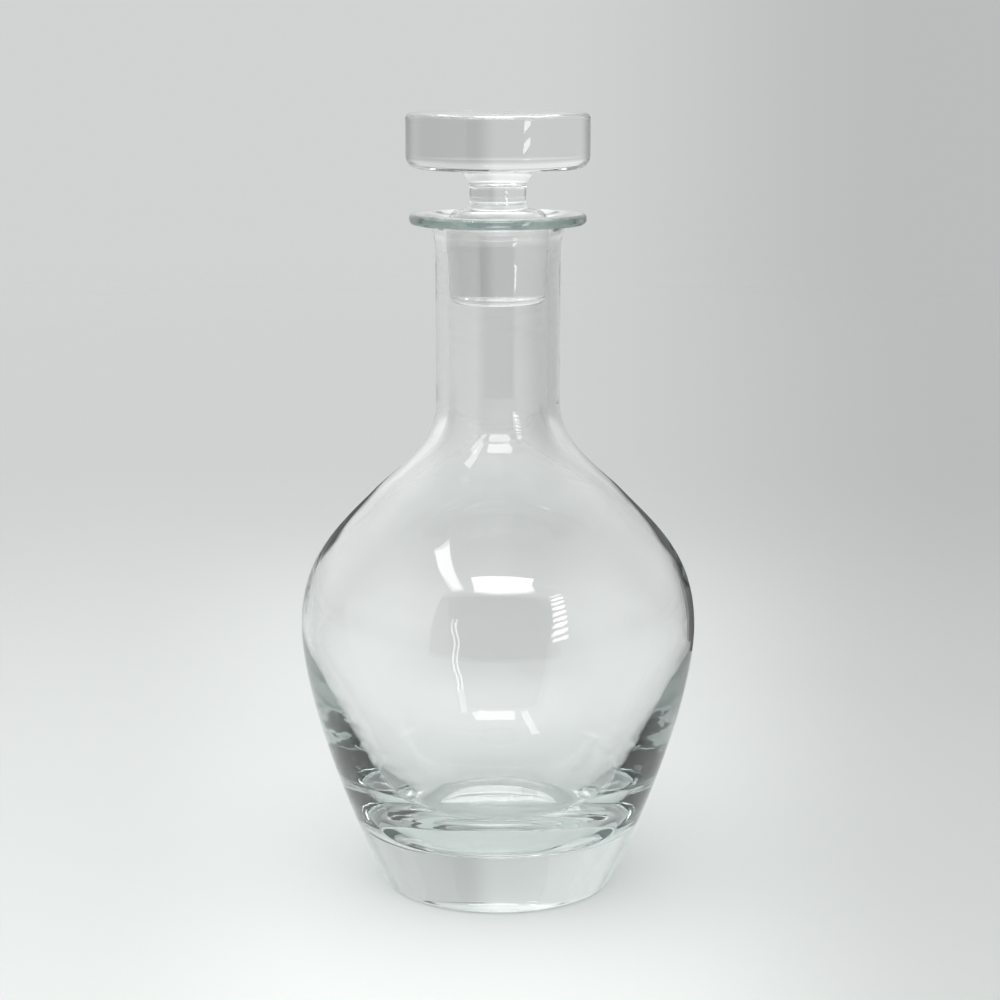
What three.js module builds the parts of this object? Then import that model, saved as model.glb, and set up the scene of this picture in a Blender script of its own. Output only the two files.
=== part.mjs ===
// A round whisky decanter: a mould-blown glass bottle with a thick base and a flanged lip, and the solid
// pressed glass stopper that seats in its neck. Millimetres, +Z up, origin under the middle of the base.
// Each piece is turned from an outline of radius against height.
import * as THREE from "three";

// Bottle, outside, from the foot up. A pull is how far a curve keeps its direction as it leaves a point.
const restRadius = 34.1; // outer edge of the level ring that the bottle stands on
const restWidth = 8;
const puntDepth = 2.4; // rise of the hollowed middle of the underside
const footEdge = 2.4;
const footLean = 25.6; // degrees that the side leans outwards as it leaves the foot
const flankPull = 39.9;
const bellyRadius = 61.15;
const bellyHeight = 82.3;
const bellyPullDown = 14.1;
const bellyPullUp = 21.5;
const shoulderRadius = 38;
const shoulderRise = 42.5; // from the belly up
const shoulderSlope = 46; // degrees from level
const shoulderPullDown = 17.7;
const shoulderPullUp = 8.5;
const neckRootRise = 27.2; // from the shoulder up
const neckRootPull = 13.4;
const neckLength = 57.8; // from its root to the top of the lip

// Bottle, inside
const baseThickness = 18.8; // glass under the level middle of the hollow's floor
const floorRadius = 13.5;
const floorPull = 13;
const bowlRadius = 44.2; // where the floor's curve runs into the side
const bowlHeight = 39.6;
const bowlLean = 27.5; // degrees outwards from upright
const bowlPullDown = 13;
const bowlPullUp = 14;
const bellyWall = 2.6;
const bellyPullIn = 12;
const shoulderWall = 2.1;
const boreRadius = 15.1;
const neckWall = 3.9;

// Neck opening: the bore widens into a tapered seat, then rolls out over the lip
const seatLength = 21.6; // from the foot of the seat to the top of the lip
const seatTaper = 3.25; // degrees, on each side
const mouthRoll = 6; // how far the roll runs out from the seat
const mouthDepth = 6.5; // how far it runs down to the seat
const mouthPullIn = 3.6;
const mouthPullUp = 3.2;
const lipThickness = 3.3;
const lipEdge = 1.4; // rounding of the lip's rim, above and below
const lipOverhang = 7.9; // how far the lip stands out from the neck
const lipFlare = 3.4; // how far out the neck has flared where it meets the lip
const lipFlareDrop = 11.5; // the neck begins to flare this far under the lip
const lipFlarePull = 8.5;
const lipUnderPull = 2.5;

// Stopper
const seatGap = 0.3; // between the plug and its seat, square to both
const plugDrop = 6.8; // top of the plug's tapered side under the top of the lip
const plugLength = 20.1;
const plugFootEdge = 2.2;
const plugShoulderPull = 6.5;
const domeRise = 1.3; // top of the plug's dome over the top of the lip
const domePull = 3.4;
const stemRadius = 8.6;
const stemFootFillet = 2;
const stemHeadFillet = 6.2;
const headLift = 13.4; // underside of the head above the top of the lip
const headRadius = 27.9;
const headHeight = 16.8;
const headTopEdge = 1.9;
const headFootEdge = 4;

// Facets around each piece
const bottleSides = 48;
const stopperSides = 48;

const glassColour = 0xdfe9e7;

// Levels and radii that follow from the sizes above
const shoulderHeight = bellyHeight + shoulderRise;
const neckRootHeight = shoulderHeight + neckRootRise;
const lipTop = neckRootHeight + neckLength;
const lipUnder = lipTop - lipThickness;
const neckRadius = boreRadius + neckWall;
const lipRadius = neckRadius + lipOverhang;
const seatFoot = lipTop - seatLength;
const seatTop = lipTop - mouthDepth;
const plugTop = lipTop - plugDrop;
const plugBottom = plugTop - plugLength;
const headBottom = lipTop + headLift;
const headTop = headBottom + headHeight;

const at = (radius, height) => new THREE.Vector2(radius, height);

const degrees = THREE.MathUtils.degToRad;

// The direction that leans outwards from straight up by an angle in degrees.
const leaning = (angle) => at(Math.sin(degrees(angle)), Math.cos(degrees(angle)));

const up = at(0, 1);
const out = at(1, 0);

// The point that lies a distance along a direction from another.
const along = (start, direction, distance) => start.clone().addScaledVector(direction, distance);

// A smooth stretch that leaves its first point by one pull and reaches its last by another.
const bend = (first, firstPull, lastPull, last, steps) =>
  new THREE.CubicBezierCurve(first, firstPull, lastPull, last).getPoints(steps);

// A round stretch about a centre, from one angle to another, in degrees from level outwards.
function round(centre, radius, from, to, steps) {
  const clockwise = to < from;
  return new THREE.EllipseCurve(
    centre.x, centre.y, radius, radius, degrees(from), degrees(to), clockwise,
  ).getPoints(steps);
}

// Turns an outline into one upright solid. The outline is walked from the axis underneath, out and up the
// outside and back to the axis, so that its faces point out.
function turned(name, outline, sides) {
  const shortest = 1e-4;
  const points = [];
  for (const place of outline.flat()) {
    const next = at(Math.abs(place.x) < shortest ? 0 : place.x, place.y);
    if (!points.length || points.at(-1).distanceTo(next) > shortest) points.push(next);
  }
  const geometry = new THREE.LatheGeometry(points, sides);
  geometry.rotateX(Math.PI / 2);
  const glass = new THREE.MeshStandardMaterial({
    color: glassColour,
    roughness: 0.02,
    metalness: 0,
    transparent: true,
    opacity: 0.35,
  });
  const mesh = new THREE.Mesh(geometry, glass);
  mesh.name = name;
  return mesh;
}

// Radius of the tapered seat at a height. The plug's side is the same line, moved in by the seat gap.
const seatRadiusAt = (height) => boreRadius + (height - seatFoot) * Math.tan(degrees(seatTaper));
const plugRadiusAt = (height) => seatRadiusAt(height) - seatGap / Math.cos(degrees(seatTaper));

function bottleUnderside() {
  const ringInside = restRadius - restWidth;
  const punt = new THREE.QuadraticBezierCurve(at(0, puntDepth), at(ringInside / 2, puntDepth), at(ringInside, 0));
  return punt.getPoints(5);
}

function bottleOutside() {
  const side = leaning(footLean);
  const footCentre = at(restRadius, footEdge);
  const footTop = along(footCentre, at(side.y, -side.x), footEdge);
  const belly = at(bellyRadius, bellyHeight);
  const shoulder = at(shoulderRadius, shoulderHeight);
  const slope = leaning(shoulderSlope - 90);
  const neckRoot = at(neckRadius, neckRootHeight);
  return [
    round(footCentre, footEdge, -90, -footLean, 4),
    bend(footTop, along(footTop, side, flankPull), along(belly, up, -bellyPullDown), belly, 10),
    bend(belly, along(belly, up, bellyPullUp), along(shoulder, slope, -shoulderPullDown), shoulder, 10),
    bend(shoulder, along(shoulder, slope, shoulderPullUp), along(neckRoot, up, -neckRootPull), neckRoot, 7),
  ].flat();
}

function bottleLip() {
  const flareStart = at(neckRadius, lipUnder - lipFlareDrop);
  const flareEnd = at(neckRadius + lipFlare, lipUnder);
  const edge = Math.min(lipEdge, lipThickness / 2);
  const mouth = at(seatRadiusAt(seatTop) + mouthRoll, lipTop);
  const seat = at(seatRadiusAt(seatTop), seatTop);
  return [
    bend(flareStart, along(flareStart, up, lipFlarePull), along(flareEnd, out, -lipUnderPull), flareEnd, 7),
    round(at(lipRadius - edge, lipUnder + edge), edge, -90, 0, 4),
    round(at(lipRadius - edge, lipTop - edge), edge, 0, 90, 4),
    bend(mouth, along(mouth, out, -mouthPullIn), along(seat, up, mouthPullUp), seat, 7),
  ].flat();
}

// The hollow, from the foot of the seat down to the middle of its floor.
function bottleInside() {
  const bore = at(boreRadius, neckRootHeight);
  const slope = leaning(shoulderSlope - 90);
  const inwards = at(-slope.y, slope.x);
  const shoulder = along(at(shoulderRadius, shoulderHeight), inwards, shoulderWall);
  const belly = at(bellyRadius - bellyWall, bellyHeight);
  const bowl = at(bowlRadius, bowlHeight);
  const bowlSide = leaning(bowlLean);
  const floorEdge = at(floorRadius, baseThickness);
  return [
    [at(boreRadius, seatFoot)],
    bend(bore, along(bore, up, -neckRootPull), along(shoulder, slope, shoulderPullUp), shoulder, 7),
    bend(shoulder, along(shoulder, slope, -shoulderPullDown), along(belly, up, bellyPullUp), belly, 9),
    bend(belly, along(belly, up, -bellyPullIn), along(bowl, bowlSide, bowlPullUp), bowl, 8),
    bend(bowl, along(bowl, bowlSide, -bowlPullDown), along(floorEdge, out, floorPull), floorEdge, 11),
    [at(0, baseThickness)],
  ].flat();
}

function bottle() {
  return turned("bottle", [bottleUnderside(), bottleOutside(), bottleLip(), bottleInside()], bottleSides);
}

// One solid piece: a tapered plug with a domed top, a narrow stem and a flat round head to hold it by.
function stopper() {
  const plugFoot = plugBottom + plugFootEdge;
  const plugShoulder = at(plugRadiusAt(plugTop), plugTop);
  const stemFoot = at(stemRadius + stemFootFillet, lipTop + domeRise);
  const stemHead = headBottom - stemHeadFillet;
  return turned("stopper", [
    [at(0, plugBottom)],
    round(at(plugRadiusAt(plugFoot) - plugFootEdge, plugFoot), plugFootEdge, -90, 0, 4),
    bend(plugShoulder, along(plugShoulder, up, plugShoulderPull), along(stemFoot, out, domePull), stemFoot, 8),
    round(along(stemFoot, up, stemFootFillet), stemFootFillet, -90, -180, 4),
    round(at(stemRadius + stemHeadFillet, stemHead), stemHeadFillet, 180, 90, 5),
    round(at(headRadius - headFootEdge, headBottom + headFootEdge), headFootEdge, -90, 0, 5),
    round(at(headRadius - headTopEdge, headTop - headTopEdge), headTopEdge, 0, 90, 4),
    [at(0, headTop)],
  ], stopperSides);
}

const decanter = new THREE.Group();
decanter.add(bottle(), stopper());
export default decanter;
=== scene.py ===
import math

import bmesh
import bpy
from mathutils import Matrix, Vector
from mathutils.geometry import interpolate_bezier


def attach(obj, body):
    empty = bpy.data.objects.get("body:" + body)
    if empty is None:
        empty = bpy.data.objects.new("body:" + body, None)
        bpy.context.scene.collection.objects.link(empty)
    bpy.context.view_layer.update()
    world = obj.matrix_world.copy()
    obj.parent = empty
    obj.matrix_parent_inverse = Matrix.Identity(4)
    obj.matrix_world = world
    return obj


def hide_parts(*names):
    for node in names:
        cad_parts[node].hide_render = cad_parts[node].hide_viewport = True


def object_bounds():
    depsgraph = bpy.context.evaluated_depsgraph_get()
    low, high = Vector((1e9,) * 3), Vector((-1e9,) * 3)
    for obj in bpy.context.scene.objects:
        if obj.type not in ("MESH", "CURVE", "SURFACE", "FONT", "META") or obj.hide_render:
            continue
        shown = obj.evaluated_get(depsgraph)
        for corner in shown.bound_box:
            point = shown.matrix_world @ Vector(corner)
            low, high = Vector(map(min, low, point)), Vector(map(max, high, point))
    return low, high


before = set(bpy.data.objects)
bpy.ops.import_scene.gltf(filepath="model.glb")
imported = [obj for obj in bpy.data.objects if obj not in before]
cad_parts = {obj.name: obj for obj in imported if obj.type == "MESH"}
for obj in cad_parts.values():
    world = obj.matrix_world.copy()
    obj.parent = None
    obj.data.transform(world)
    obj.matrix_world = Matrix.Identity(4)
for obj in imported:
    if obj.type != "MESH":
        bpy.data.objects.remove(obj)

# A round whisky decanter: two turned pieces of clear glass in place of the plain solids. Outline sizes are
# millimetres and become metres where a point is made
mm = 0.001
cadLow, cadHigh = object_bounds()
decanterHeight = cadHigh.z - cadLow.z
print("frame loaded, decanter stands", round(decanterHeight / mm, 1), "mm tall")


# Outline helpers: a point is a radius and a height, and every outline is walked anticlockwise from the
# axis underneath, out and up the outside, and back to the axis

def at(radius, height):
    return Vector((radius * mm, 0, height * mm))


def leaning(angle):  # degrees outwards from straight up
    return Vector((math.sin(math.radians(angle)), 0, math.cos(math.radians(angle))))


def along(start, direction, distance):
    return start + direction * distance * mm


def bend(first, firstPull, lastPull, last, steps):
    return interpolate_bezier(first, firstPull, lastPull, last, steps + 1)


def roundStretch(centre, radius, fromAngle, toAngle, steps):  # degrees from level outwards
    points = []
    for step in range(steps + 1):
        angle = math.radians(fromAngle + (toAngle - fromAngle) * step / steps)
        points.append(centre + Vector((math.cos(angle), 0, math.sin(angle))) * radius * mm)
    return points


up = Vector((0, 0, 1))
out = Vector((1, 0, 0))


def turnGlass(name, outline, sides):
    closeBy = 1e-6
    bm = bmesh.new()
    verts = []
    for point in outline:
        if not verts or (verts[-1].co - point).length > closeBy:
            verts.append(bm.verts.new(point))
    edges = [bm.edges.new(pair) for pair in zip(verts, verts[1:])]
    bmesh.ops.spin(bm, geom=verts + edges, cent=(0, 0, 0), axis=(0, 0, 1), angle=2 * math.pi,
                   steps=sides, use_merge=True)
    bmesh.ops.remove_doubles(bm, verts=bm.verts, dist=closeBy)
    bmesh.ops.recalc_face_normals(bm, faces=bm.faces)
    for face in bm.faces:
        face.smooth = True
    mesh = bpy.data.meshes.new(name)
    bm.to_mesh(mesh)
    bm.free()
    piece = bpy.data.objects.new(name, mesh)
    bpy.context.scene.collection.objects.link(piece)
    return piece


# Materials

def fromHex(code):  # sRGB hex to linear
    parts = [int(code[i:i + 2], 16) / 255 for i in (1, 3, 5)]
    return [c / 12.92 if c <= 0.04045 else ((c + 0.055) / 1.055) ** 2.4 for c in parts] + [1]


def addNode(tree, kind, inputs=None, **settings):
    node = tree.nodes.new(kind)
    for setting, value in settings.items():
        setattr(node, setting, value)
    for socket, value in (inputs or {}).items():
        if isinstance(value, bpy.types.NodeSocket):
            tree.links.new(value, node.inputs[socket])
        else:
            node.inputs[socket].default_value = value
    return node


glassFinish = {
    "ior": 1.52,
    "tint": "#97AEAA",  # what white light turns to on its way through
    "waveSize": 16, "waveHeight": 0.06,  # mm, of the slow waves that forming leaves in the surface
    "waveFlatness": 2.2,  # how much wider than tall a wave is
    "shadowTint": "#F6F9F8",  # what each face takes from the light that makes the shadow
}


# Soda glass, formed hot and fire-polished: perfectly clear on the face, green-grey where the eye looks along
# the wall, with slow waves that bend the highlights a little
def sodaGlass(name, finish, tintPerMetre):
    material = bpy.data.materials.new(name)
    material.use_nodes = True
    tree = material.node_tree
    tree.nodes.clear()
    place = addNode(tree, "ShaderNodeTexCoord")
    flattened = addNode(tree, "ShaderNodeVectorMath", {
        0: place.outputs["Object"], 1: (1, 1, finish["waveFlatness"]),
    }, operation="MULTIPLY")
    waves = addNode(tree, "ShaderNodeTexNoise", {
        "Vector": flattened.outputs[0], "Scale": 1 / (finish["waveSize"] * mm),
        "Detail": 1.5, "Roughness": 0.4,
    })
    ripple = addNode(tree, "ShaderNodeBump", {
        "Height": waves.outputs["Fac"], "Strength": 1.0, "Distance": finish["waveHeight"] * mm,
    })
    glass = addNode(tree, "ShaderNodeBsdfPrincipled", {
        "Base Color": (1, 1, 1, 1), "Roughness": 0.0, "IOR": finish["ior"],
        "Transmission Weight": 1.0, "Normal": ripple.outputs["Normal"],
    })
    shade = addNode(tree, "ShaderNodeBsdfTransparent", {"Color": fromHex(finish["shadowTint"])})
    light = addNode(tree, "ShaderNodeLightPath")
    surface = addNode(tree, "ShaderNodeMixShader", {
        0: light.outputs["Is Shadow Ray"], 1: glass.outputs["BSDF"], 2: shade.outputs["BSDF"],
    })
    depth = addNode(tree, "ShaderNodeVolumeAbsorption", {
        "Color": fromHex(finish["tint"]), "Density": tintPerMetre,
    })
    addNode(tree, "ShaderNodeOutputMaterial", {
        "Surface": surface.outputs["Shader"], "Volume": depth.outputs["Volume"],
    })
    return material


# Bottle: thick base, leaning side, round belly, sloping shoulders, straight neck and flanged lip. A pull is
# how far a curve keeps its direction as it leaves a point, and leans, slopes and tapers are degrees
bottleShape = {
    "restRadius": 34.1, "restWidth": 8, "puntDepth": 2.4, "footEdge": 2.4,  # foot and hollow underneath
    "footLean": 25.6, "flankPull": 39.9,
    "bellyRadius": 61.15, "bellyHeight": 82.3, "bellyPullDown": 14.1, "bellyPullUp": 21.5,
    "shoulderRadius": 38, "shoulderHeight": 124.8, "shoulderSlope": 46,
    "shoulderPullDown": 17.7, "shoulderPullUp": 8.5,
    "neckRootHeight": 152, "neckRootPull": 13.4, "neckRadius": 19, "lipTop": 209.8,
    "baseThickness": 18.8, "floorRadius": 13.5, "floorPull": 13,  # the hollow, from its floor up
    "bowlRadius": 44.2, "bowlHeight": 39.6, "bowlLean": 27.5, "bowlPullDown": 13, "bowlPullUp": 14,
    "bellyWall": 2.6, "bellyPullIn": 12, "shoulderWall": 2.1, "boreRadius": 15.1,
    "seatLength": 21.6, "seatTaper": 3.25, "mouthRoll": 6, "mouthDepth": 6.5,  # mouth and lip
    "mouthPullIn": 3.6, "mouthPullUp": 3.2,
    "lipRadius": 26.9, "lipThickness": 3.3, "lipEdge": 1.4, "lipFlare": 3.4, "lipFlareDrop": 11.5,
    "lipFlarePull": 8.5, "lipUnderPull": 2.5,
    "neckRings": (165, 180), "boreRings": (176, 164),  # heights that break up the long straight faces
    "tintPerMetre": 5, "sides": 160,
}


def seatRadiusAt(height):
    shape = bottleShape
    seatFoot = shape["lipTop"] - shape["seatLength"]
    return shape["boreRadius"] + (height - seatFoot) * math.tan(math.radians(shape["seatTaper"]))


def bottleOutline(shape):
    side = leaning(shape["footLean"])
    footCentre = at(shape["restRadius"], shape["footEdge"])
    footTop = along(footCentre, Vector((side.z, 0, -side.x)), shape["footEdge"])
    belly = at(shape["bellyRadius"], shape["bellyHeight"])
    shoulder = at(shape["shoulderRadius"], shape["shoulderHeight"])
    slope = leaning(shape["shoulderSlope"] - 90)
    neckRoot = at(shape["neckRadius"], shape["neckRootHeight"])
    ringInside = shape["restRadius"] - shape["restWidth"]
    underside = bend(at(0, shape["puntDepth"]), at(ringInside / 3, shape["puntDepth"]),
                     at(ringInside * 2 / 3, shape["puntDepth"] * 2 / 3), at(ringInside, 0), 14)
    underside += [at(ringInside + 1, 0), at(shape["restRadius"] - 1, 0)]  # keep the resting ring level
    outside = roundStretch(footCentre, shape["footEdge"], -90, -shape["footLean"], 8)
    outside += bend(footTop, along(footTop, side, shape["flankPull"]),
                    along(belly, up, -shape["bellyPullDown"]), belly, 34)
    outside += bend(belly, along(belly, up, shape["bellyPullUp"]),
                    along(shoulder, slope, -shape["shoulderPullDown"]), shoulder, 24)
    outside += bend(shoulder, along(shoulder, slope, shape["shoulderPullUp"]),
                    along(neckRoot, up, -shape["neckRootPull"]), neckRoot, 18)

    lipUnder = shape["lipTop"] - shape["lipThickness"]
    flareStart = at(shape["neckRadius"], lipUnder - shape["lipFlareDrop"])
    flareEnd = at(shape["neckRadius"] + shape["lipFlare"], lipUnder)
    seatTop = shape["lipTop"] - shape["mouthDepth"]
    seat = at(seatRadiusAt(seatTop), seatTop)
    mouth = at(seatRadiusAt(seatTop) + shape["mouthRoll"], shape["lipTop"])
    lip = [at(shape["neckRadius"], height) for height in shape["neckRings"]]
    lip += bend(flareStart, along(flareStart, up, shape["lipFlarePull"]),
                along(flareEnd, out, -shape["lipUnderPull"]), flareEnd, 16)
    rimRadius = shape["lipRadius"] - shape["lipEdge"]
    lip += roundStretch(at(rimRadius, lipUnder + shape["lipEdge"]), shape["lipEdge"], -90, 0, 10)
    lip += roundStretch(at(rimRadius, shape["lipTop"] - shape["lipEdge"]), shape["lipEdge"], 0, 90, 10)
    lip += bend(mouth, along(mouth, out, -shape["mouthPullIn"]),
                along(seat, up, shape["mouthPullUp"]), seat, 14)

    inwards = Vector((-slope.z, 0, slope.x))
    innerRoot = at(shape["boreRadius"], shape["neckRootHeight"])
    innerShoulder = along(shoulder, inwards, shape["shoulderWall"])
    innerBelly = at(shape["bellyRadius"] - shape["bellyWall"], shape["bellyHeight"])
    bowl = at(shape["bowlRadius"], shape["bowlHeight"])
    bowlSide = leaning(shape["bowlLean"])
    floorEdge = at(shape["floorRadius"], shape["baseThickness"])
    seatFoot = shape["lipTop"] - shape["seatLength"]
    inside = [at(shape["boreRadius"], height) for height in (seatFoot, *shape["boreRings"])]
    inside += bend(innerRoot, along(innerRoot, up, -shape["neckRootPull"]),
                   along(innerShoulder, slope, shape["shoulderPullUp"]), innerShoulder, 18)
    inside += bend(innerShoulder, along(innerShoulder, slope, -shape["shoulderPullDown"]),
                   along(innerBelly, up, shape["bellyPullUp"]), innerBelly, 24)
    inside += bend(innerBelly, along(innerBelly, up, -shape["bellyPullIn"]),
                   along(bowl, bowlSide, shape["bowlPullUp"]), bowl, 26)
    inside += bend(bowl, along(bowl, bowlSide, -shape["bowlPullDown"]),
                   along(floorEdge, out, shape["floorPull"]), floorEdge, 32)
    inside += [at(shape["floorRadius"] / 2, shape["baseThickness"]), at(0, shape["baseThickness"])]
    return underside + outside + lip + inside


bottle = turnGlass("bottle_glass", bottleOutline(bottleShape), bottleShape["sides"])
bottle.data.materials.append(sodaGlass("blown_soda_glass", glassFinish, bottleShape["tintPerMetre"]))
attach(bottle, "bottle")
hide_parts("bottle")
print("bottle turned:", len(bottle.data.polygons), "faces")


# Stopper: one solid piece, pressed and polished, with a tapered plug, a narrow stem and a flat round head
stopperShape = {
    "seatGap": 0.3,  # between the plug and its seat, square to both
    "plugDrop": 6.8,  # from the top of the lip down to the top of the plug's side
    "plugLength": 20.1, "plugFootEdge": 2.2,
    "plugShoulderPull": 6.5, "domeRise": 1.3, "domePull": 3.4,
    "stemRadius": 8.6, "stemFootFillet": 2, "stemHeadFillet": 6.2,
    "headLift": 13.4, "headRadius": 27.9, "headHeight": 16.8, "headTopEdge": 1.9, "headFootEdge": 4,
    "middleRing": 6, "topRing": 12,  # radii that break up the level ends
    "tintPerMetre": 1.5, "sides": 144,
}


def stopperOutline(shape):
    lipTop = bottleShape["lipTop"]
    gap = shape["seatGap"] / math.cos(math.radians(bottleShape["seatTaper"]))
    plugTop = lipTop - shape["plugDrop"]
    plugBottom = plugTop - shape["plugLength"]
    plugFoot = plugBottom + shape["plugFootEdge"]
    plugShoulder = at(seatRadiusAt(plugTop) - gap, plugTop)
    stemFoot = at(shape["stemRadius"] + shape["stemFootFillet"], lipTop + shape["domeRise"])
    headBottom = lipTop + shape["headLift"]
    headTop = headBottom + shape["headHeight"]
    stemHead = headBottom - shape["stemHeadFillet"]
    outline = [at(0, plugBottom), at(shape["middleRing"], plugBottom)]
    outline += roundStretch(at(seatRadiusAt(plugFoot) - gap - shape["plugFootEdge"], plugFoot),
                            shape["plugFootEdge"], -90, 0, 10)
    outline += bend(plugShoulder, along(plugShoulder, up, shape["plugShoulderPull"]),
                    along(stemFoot, out, shape["domePull"]), stemFoot, 20)
    outline += roundStretch(along(stemFoot, up, shape["stemFootFillet"]),
                            shape["stemFootFillet"], -90, -180, 8)
    outline += roundStretch(at(shape["stemRadius"] + shape["stemHeadFillet"], stemHead),
                            shape["stemHeadFillet"], 180, 90, 12)
    footEdge, topEdge = shape["headFootEdge"], shape["headTopEdge"]
    outline += roundStretch(at(shape["headRadius"] - footEdge, headBottom + footEdge), footEdge, -90, 0, 14)
    outline += roundStretch(at(shape["headRadius"] - topEdge, headTop - topEdge), topEdge, 0, 90, 10)
    outline += [at(shape["topRing"], headTop), at(0, headTop)]
    return outline


stopper = turnGlass("stopper_glass", stopperOutline(stopperShape), stopperShape["sides"])
stopper.data.materials.append(sodaGlass("pressed_soda_glass", glassFinish, stopperShape["tintPerMetre"]))
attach(stopper, "stopper")
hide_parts("stopper")
print("stopper turned:", len(stopper.data.polygons), "faces")


# Studio: a pale board that fades into a pale room. Lengths are metres, and tones are shares of full white. A
# pair says where a smooth change begins and ends, on the board or across the room's directions, -1 to 1
studio = {
    "paperTint": "#FAFCFB",
    "floorRadius": 2.4, "melt": (1.2, 2.4),  # the board melts into the room towards its rim
    "floorDrop": 0.3,  # mm from the glass down to the board
    "lightestAt": -0.5, "fade": (0, 1.3), "floorNear": 0.855, "floorFar": 0.55,  # painted shade: the board is paler in front than behind
    "fanFrom": 1.0, "fanNearest": 0.6,  # the board's strips fan out from this far in front of the glass
    "rightward": (0, 0.17), "rightShade": 0.78,  # the room's light is greyer to the right, and the board is painted greyer there too
    "poolEdge": (0.05, 0.13), "poolEnd": (0.3, 0.6), "paintedPoolGain": 1.11,  # painted light on the board, for the light that gathers round the glass
    # The strip of painted shadow on the board behind the glass
    "wakeEdge": (0.01, 0.05), "wakeStart": (0.12, 0.24), "wakeEnd": (0.45, 0.85), "paintedWakeShade": 0.81,
    "roomFront": 1.2, "roomBack": 0.67,  # the room's light from the camera's side and from behind
    "upper": (0.02, 0.22), "upperGain": 1.35,  # and how much more comes from high up
    # How much of that the glass shows, from the camera's side round to the back, and from overhead
    "glassFront": 0.6, "glassBefore": (-0.8, 0), "glassSide": 0.4, "glassBehind": (0.2, 0.65),
    "glassUpper": (0.35, 0.8), "glassOverhead": 1.45,
    "cardEyeLevel": 0.1,  # height that the cards' elevations are counted from
}
# A high window, out of the camera's sight: azimuth from the camera's side, + to the right, and elevation, in
# degrees, with its soft edge
highWindow = {"azimuth": (-20, 30), "elevation": (46, 58), "edge": 2, "level": 6}


# Multiplies a level by smooth steps, each a source, where it begins and ends, and its level at both
def smoothSteps(tree, level, steps):
    for source, (low, high), atLow, atHigh in steps:
        step = addNode(tree, "ShaderNodeMapRange", {
            "Value": source, "From Min": low, "From Max": high, "To Min": atLow, "To Max": atHigh,
        }, interpolation_type="SMOOTHSTEP")
        product = addNode(tree, "ShaderNodeMath", {0: level, 1: step.outputs[0]}, operation="MULTIPLY")
        level = product.outputs[0]
    return level


# The camera sees a plain backdrop and the board gets soft light from all round. Rays that come from glass see
# the room darker at its sides, which is what draws the dark edges of clear glass
def roomLight():
    world = bpy.data.worlds.new("white_room")
    bpy.context.scene.world = world
    world.use_nodes = True
    tree = world.node_tree
    tree.nodes.clear()
    towards = addNode(tree, "ShaderNodeTexCoord").outputs["Generated"]
    x, y, z = addNode(tree, "ShaderNodeSeparateXYZ", {"Vector": towards}).outputs
    tone = smoothSteps(tree, 1.0, [
        (z, studio["upper"], 1.0, studio["upperGain"]),
        (x, studio["rightward"], 1.0, studio["rightShade"]),
    ])
    backdrop = addNode(tree, "ShaderNodeMath", {0: tone, 1: studio["roomBack"]}, operation="MULTIPLY")
    level = smoothSteps(tree, tone, [(y, (-1, 1), studio["roomFront"], studio["roomBack"])])

    before = smoothSteps(tree, 1.0, [(y, studio["glassBefore"], studio["glassFront"], studio["glassSide"])])
    behind = smoothSteps(tree, 1.0, [(y, studio["glassBehind"], studio["glassSide"], 1.0)])
    sides = addNode(tree, "ShaderNodeMath", {0: behind, 1: before}, operation="MAXIMUM")
    inGlass = addNode(tree, "ShaderNodeMath", {0: level, 1: sides.outputs[0]}, operation="MULTIPLY")
    inGlass = smoothSteps(tree, inGlass.outputs[0], [(z, studio["glassUpper"], 1.0, studio["glassOverhead"])])
    rays = addNode(tree, "ShaderNodeLightPath").outputs
    fromGlass = addNode(tree, "ShaderNodeMath", {
        0: rays["Is Transmission Ray"], 1: rays["Is Glossy Ray"],
    }, operation="MAXIMUM")
    level = addNode(tree, "ShaderNodeMix", {
        "Factor": fromGlass.outputs[0], "A": level, "B": inGlass,
    }).outputs[0]

    minusY = addNode(tree, "ShaderNodeMath", {0: y, 1: -1.0}, operation="MULTIPLY")
    azimuth = addNode(tree, "ShaderNodeMath", {0: x, 1: minusY.outputs[0]}, operation="ARCTAN2").outputs[0]
    elevation = addNode(tree, "ShaderNodeMath", {0: z}, operation="ARCSINE").outputs[0]
    edge = math.radians(highWindow["edge"])
    edges = []
    for angle, limits in ((azimuth, highWindow["azimuth"]), (elevation, highWindow["elevation"])):
        low, high = [math.radians(limit) for limit in limits]
        edges += [(angle, (low, low + edge), 0.0, 1.0), (angle, (high - edge, high), 1.0, 0.0)]
    level = addNode(tree, "ShaderNodeMix", {
        "Factor": smoothSteps(tree, 1.0, edges), "A": level, "B": highWindow["level"],
    }).outputs[0]
    level = addNode(tree, "ShaderNodeMix", {
        "Factor": rays["Is Camera Ray"], "A": level, "B": backdrop.outputs[0],
    }).outputs[0]
    glow = addNode(tree, "ShaderNodeBackground", {"Color": fromHex(studio["paperTint"]), "Strength": level})
    addNode(tree, "ShaderNodeOutputWorld", {"Surface": glow.outputs[0]})
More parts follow.
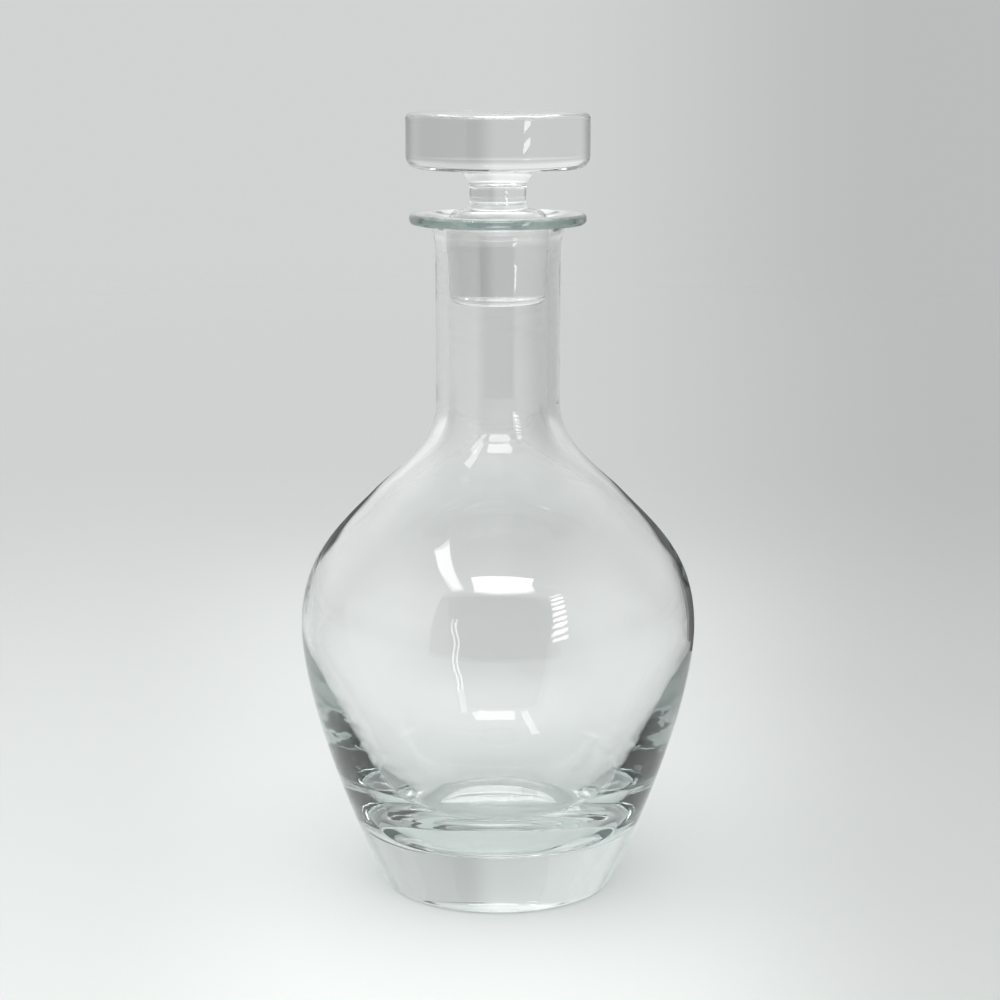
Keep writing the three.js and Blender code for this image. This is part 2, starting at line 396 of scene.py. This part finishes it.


# Matt white board with painted shade: greyer away from the camera and to the right, and it melts into the
# room at its rim
def boardWithPaintedShade():
    material = bpy.data.materials.new("matt_white_board_painted_shade")
    material.use_nodes = True
    tree = material.node_tree
    tree.nodes.clear()
    place = addNode(tree, "ShaderNodeTexCoord").outputs["Object"]
    x, y = addNode(tree, "ShaderNodeSeparateXYZ", {"Vector": place}).outputs[:2]
    fromLightest = addNode(tree, "ShaderNodeVectorMath", {
        0: place, 1: (0, studio["lightestAt"], 0),
    }, operation="DISTANCE").outputs["Value"]
    distance = addNode(tree, "ShaderNodeMath", {0: y, 1: studio["fanFrom"]}, operation="ADD")
    distance = addNode(tree, "ShaderNodeMath", {
        0: distance.outputs[0], 1: studio["fanNearest"],
    }, operation="MAXIMUM")
    across = addNode(tree, "ShaderNodeMath", {0: x, 1: distance.outputs[0]}, operation="DIVIDE").outputs[0]
    aside = addNode(tree, "ShaderNodeMath", {0: across}, operation="ABSOLUTE").outputs[0]
    # Painted light: the board is lighter round the glass, fading out behind it
    paintedPoolGain = smoothSteps(tree, 1.0, [(y, studio["poolEnd"], studio["paintedPoolGain"], 1.0)])
    # Painted shadow: a darker strip on the board behind the glass
    wake = smoothSteps(tree, 1.0, [(aside, studio["wakeEdge"], studio["paintedWakeShade"], 1.0)])
    inWake = smoothSteps(tree, 1.0, [(y, studio["wakeStart"], 0.0, 1.0), (y, studio["wakeEnd"], 1.0, 0.0)])
    wake = addNode(tree, "ShaderNodeMix", {"Factor": inWake, "A": 1.0, "B": wake}).outputs[0]
    # Painted light and shade together: darker away from the front, lighter round the glass, greyer to the
    # right
    shade = smoothSteps(tree, wake, [
        (fromLightest, studio["fade"], studio["floorNear"], studio["floorFar"]),
        (aside, studio["poolEdge"], paintedPoolGain, 1.0),
        (across, studio["rightward"], 1.0, studio["rightShade"]),
    ])
    colour = addNode(tree, "ShaderNodeVectorMath", {
        0: fromHex(studio["paperTint"])[:3], "Scale": shade,
    }, operation="SCALE")
    board = addNode(tree, "ShaderNodeBsdfPrincipled", {
        "Base Color": colour.outputs[0], "Roughness": 0.8, "Specular IOR Level": 0.1,
    })
    fromMiddle = addNode(tree, "ShaderNodeVectorMath", {0: place}, operation="LENGTH").outputs["Value"]
    surface = addNode(tree, "ShaderNodeMixShader", {
        0: smoothSteps(tree, 1.0, [(fromMiddle, studio["melt"], 0.0, 1.0)]),
        1: board.outputs[0], 2: addNode(tree, "ShaderNodeBsdfTransparent").outputs[0],
    })
    addNode(tree, "ShaderNodeOutputMaterial", {"Surface": surface.outputs[0]})
    return material


def paleFloor():
    bm = bmesh.new()
    bmesh.ops.create_circle(bm, cap_ends=True, radius=studio["floorRadius"], segments=96)
    bmesh.ops.translate(bm, verts=bm.verts, vec=(0, 0, -studio["floorDrop"] * mm))
    mesh = bpy.data.meshes.new("floor")
    bm.to_mesh(mesh)
    bm.free()
    floor = bpy.data.objects.new("floor", mesh)
    bpy.context.scene.collection.objects.link(floor)
    mesh.materials.append(boardWithPaintedShade())


# Cards that only reflections show, each plain light of one level. A standing card fills a direction, in
# degrees from the camera's side and from eye level, at a distance in metres. A lying card has its reach to
# the right and to the back, and a height. Rays that have met more faces than "deepest" pass it by, so that
# it shows on the outside of the glass and not again inside the plug. A wave is mm, and a turn is degrees in
# the card's own plane
cards = {
    "front": {"azimuth": (-38, 34), "elevation": (-9, 43), "away": 0.62, "level": 0.06},
    "dark_right": {"azimuth": (138, 176), "elevation": (-18, 1.5), "away": 0.3, "level": 0.18},
    "shoulder_right": {"azimuth": (133, 160), "elevation": (-22, 10.4), "away": 0.15, "level": 0.12},
    "shoulder_left": {"azimuth": (-160, -134), "elevation": (-2, 10), "away": 0.15, "level": 0.1},
    "slats": {"azimuth": (33, 41), "elevation": (3, 37), "away": 0.6, "level": 7, "slats": 8, "turn": -9,
              "rake": 0.4, "deepest": 4},
    "cord": {"azimuth": (-19.4, -16.8), "elevation": (-24, 12.5), "away": 0.13, "level": 6, "turn": 4,
             "wave": 1.5, "twin": True, "deepest": 2},
    "cord_foot": {"azimuth": (-17.4, -14.6), "elevation": (-31, -24), "away": 0.13, "level": 3, "turn": 4,
                  "deepest": 2},
    "window": {"across": (-0.165, 0.225), "front": (-0.575, -0.38), "over": 0.7, "level": 7},
    "tube_left": {"across": (-0.345, -0.255), "front": (-0.54, -0.11), "over": 0.7, "level": 5},
}
lightBounces = 96  # a ray can be mirrored many times inside the thick base before it leaves


def mirroredLight(name, level, deepest):
    material = bpy.data.materials.new(name)
    material.use_nodes = True
    tree = material.node_tree
    tree.nodes.clear()
    rays = addNode(tree, "ShaderNodeLightPath").outputs
    mirrored = addNode(tree, "ShaderNodeMath", {0: rays["Glossy Depth"], 1: 0.5}, operation="GREATER_THAN")
    early = addNode(tree, "ShaderNodeMath", {0: rays["Ray Depth"], 1: deepest + 0.5}, operation="LESS_THAN")
    both = addNode(tree, "ShaderNodeMath", {
        0: mirrored.outputs[0], 1: early.outputs[0],
    }, operation="MULTIPLY")
    surface = addNode(tree, "ShaderNodeMixShader", {
        0: both.outputs[0],
        1: addNode(tree, "ShaderNodeBsdfTransparent").outputs[0],
        2: addNode(tree, "ShaderNodeEmission", {"Strength": level}).outputs[0],
    })
    addNode(tree, "ShaderNodeOutputMaterial", {"Surface": surface.outputs[0]})
    return material


def cardMesh(name, width, height, card):
    rows = 40 if "wave" in card else 2 * card.get("slats", 1) - 1
    columns = 3 if "twin" in card else 1
    bm = bmesh.new()
    bmesh.ops.create_grid(bm, x_segments=columns, y_segments=rows, size=0.5)
    bmesh.ops.scale(bm, verts=bm.verts, vec=(width, height, 1))
    gaps = []
    if "slats" in card:
        gaps = sorted(bm.faces, key=lambda face: face.calc_center_median().y)[1::2]
    if "twin" in card:
        gaps = [face for face in bm.faces if abs(face.calc_center_median().x) < width / columns / 2]
    bmesh.ops.delete(bm, geom=gaps, context="FACES")
    for vert in bm.verts:
        vert.co.y += card.get("rake", 0) * vert.co.x
        vert.co.x += card.get("wave", 0) * mm * math.sin(vert.co.y / height * 4 * math.pi)
    bmesh.ops.rotate(bm, verts=bm.verts, matrix=Matrix.Rotation(math.radians(card.get("turn", 0)), 3, "Z"))
    mesh = bpy.data.meshes.new("card_" + name)
    bm.to_mesh(mesh)
    bm.free()
    return mesh


def placeCard(name, card):
    if "over" in card:
        width, depth = [limits[1] - limits[0] for limits in (card["across"], card["front"])]
        mesh = cardMesh(name, width, depth, card)
        place = (sum(card["across"]) / 2, sum(card["front"]) / 2, card["over"])
        facing = (0, 0, 0)
    else:
        middle = math.radians(sum(card["azimuth"]) / 2)
        half = math.radians((card["azimuth"][1] - card["azimuth"][0]) / 2)
        low, high = [card["away"] * math.tan(math.radians(angle)) for angle in card["elevation"]]
        low = max(low, -studio["cardEyeLevel"])  # never under the board
        mesh = cardMesh(name, 2 * card["away"] * math.tan(half), high - low, card)
        place = (card["away"] * math.sin(middle), -card["away"] * math.cos(middle),
                 studio["cardEyeLevel"] + (low + high) / 2)
        facing = (math.radians(90), 0, middle)
    mesh.materials.append(mirroredLight(name + "_light", card["level"], card.get("deepest", lightBounces)))
    plane = bpy.data.objects.new("card_" + name, mesh)
    bpy.context.scene.collection.objects.link(plane)
    plane.location = place
    plane.rotation_euler = facing


roomLight()
paleFloor()
for name, card in cards.items():
    placeCard(name, card)


# Camera a little above the decanter's top, looking slightly down. Millimetres and degrees
cameraPlace = {
    "back": 732, "height": 261.1, "aside": 0.64, "downTilt": 10.8,
    "lens": 86.7, "sensor": 36,
}
camera = bpy.data.objects.new("camera", bpy.data.cameras.new("camera"))
bpy.context.scene.collection.objects.link(camera)
camera.data.sensor_width = cameraPlace["sensor"]
camera.data.lens = cameraPlace["lens"]
camera.location = (cameraPlace["aside"] * mm, -cameraPlace["back"] * mm, cameraPlace["height"] * mm)
camera.rotation_euler = (math.radians(90 - cameraPlace["downTilt"]), 0, 0)
camera.data.clip_end = 100
bpy.context.scene.camera = camera

scene = bpy.context.scene
scene.view_settings.view_transform = "Standard"
scene.cycles.max_bounces = lightBounces
scene.cycles.transmission_bounces = lightBounces
scene.cycles.glossy_bounces = lightBounces
scene.cycles.diffuse_bounces = 4
scene.cycles.transparent_max_bounces = 16
print("studio ready")
